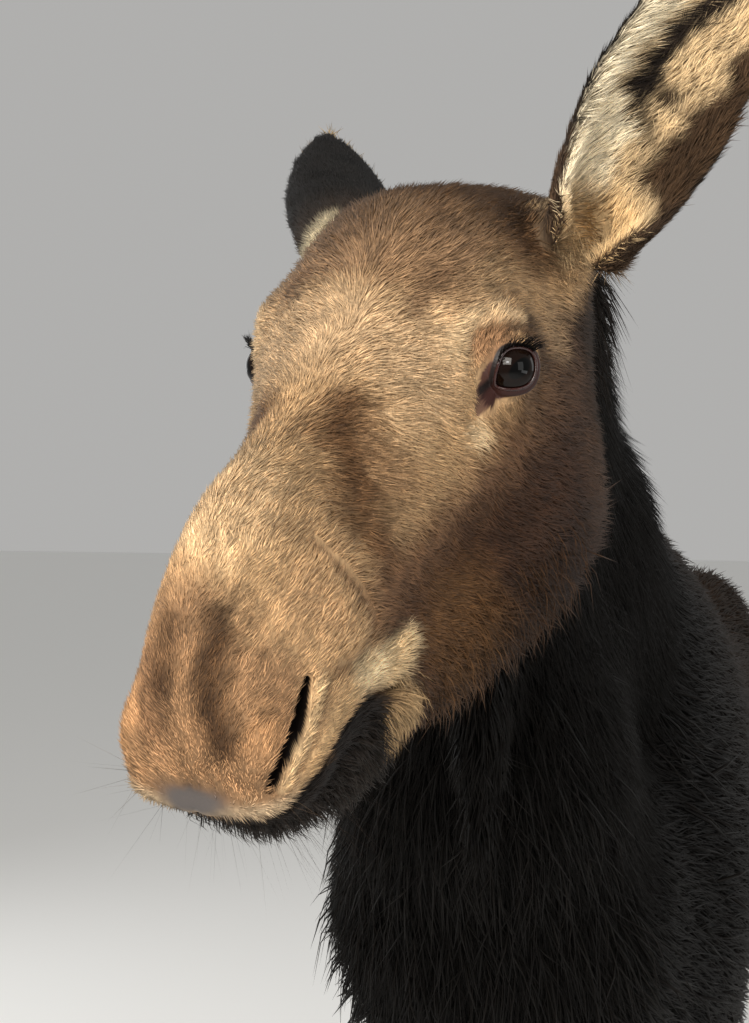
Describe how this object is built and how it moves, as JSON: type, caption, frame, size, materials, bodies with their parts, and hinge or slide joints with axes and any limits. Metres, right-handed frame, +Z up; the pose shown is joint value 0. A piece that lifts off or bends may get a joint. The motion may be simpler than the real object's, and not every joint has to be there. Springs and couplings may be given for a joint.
{
  "type": "standing moose",
  "caption": "Life-size standing cow moose with long legs, a heavy muzzle, large ears, a shoulder hump and cloven hooves.",
  "frame": {"origin": "middle of the animal's bounding box on the floor it stands on", "axes": "+Z up, the animal faces -Y, +X is its left side"},
  "size_m": [0.574, 2.3994, 2.0251],
  "materials": {
    "face_coat": "short brown fur",
    "body_coat": "long blackish-brown winter fur",
    "ear_coat": "brown fur, long pale hair inside",
    "leg_coat": "short grey-brown fur",
    "eye": "wet and clear over a dark iris",
    "horn": "worn dark horn"
  },
  "bodies": {
    "root": {"head": "face_coat", "neck": "body_coat", "trunk": "body_coat", "eye_left": "eye", "ear_left": "ear_coat", "eye_right": "eye", "ear_right": "ear_coat", "bell": "body_coat", "tail": "body_coat", "foreleg_left": "leg_coat", "foreleg_left_toe_outer": "horn", "foreleg_left_toe_inner": "horn", "foreleg_left_dewclaw_outer": "horn", "foreleg_left_dewclaw_inner": "horn", "foreleg_right": "leg_coat", "foreleg_right_toe_outer": "horn", "foreleg_right_toe_inner": "horn", "foreleg_right_dewclaw_outer": "horn", "foreleg_right_dewclaw_inner": "horn", "hindleg_left": "leg_coat", "hindleg_left_toe_outer": "horn", "hindleg_left_toe_inner": "horn", "hindleg_left_dewclaw_outer": "horn", "hindleg_left_dewclaw_inner": "horn", "hindleg_right": "leg_coat", "hindleg_right_toe_outer": "horn", "hindleg_right_toe_inner": "horn", "hindleg_right_dewclaw_outer": "horn", "hindleg_right_dewclaw_inner": "horn"}
  },
  "joints": []
}
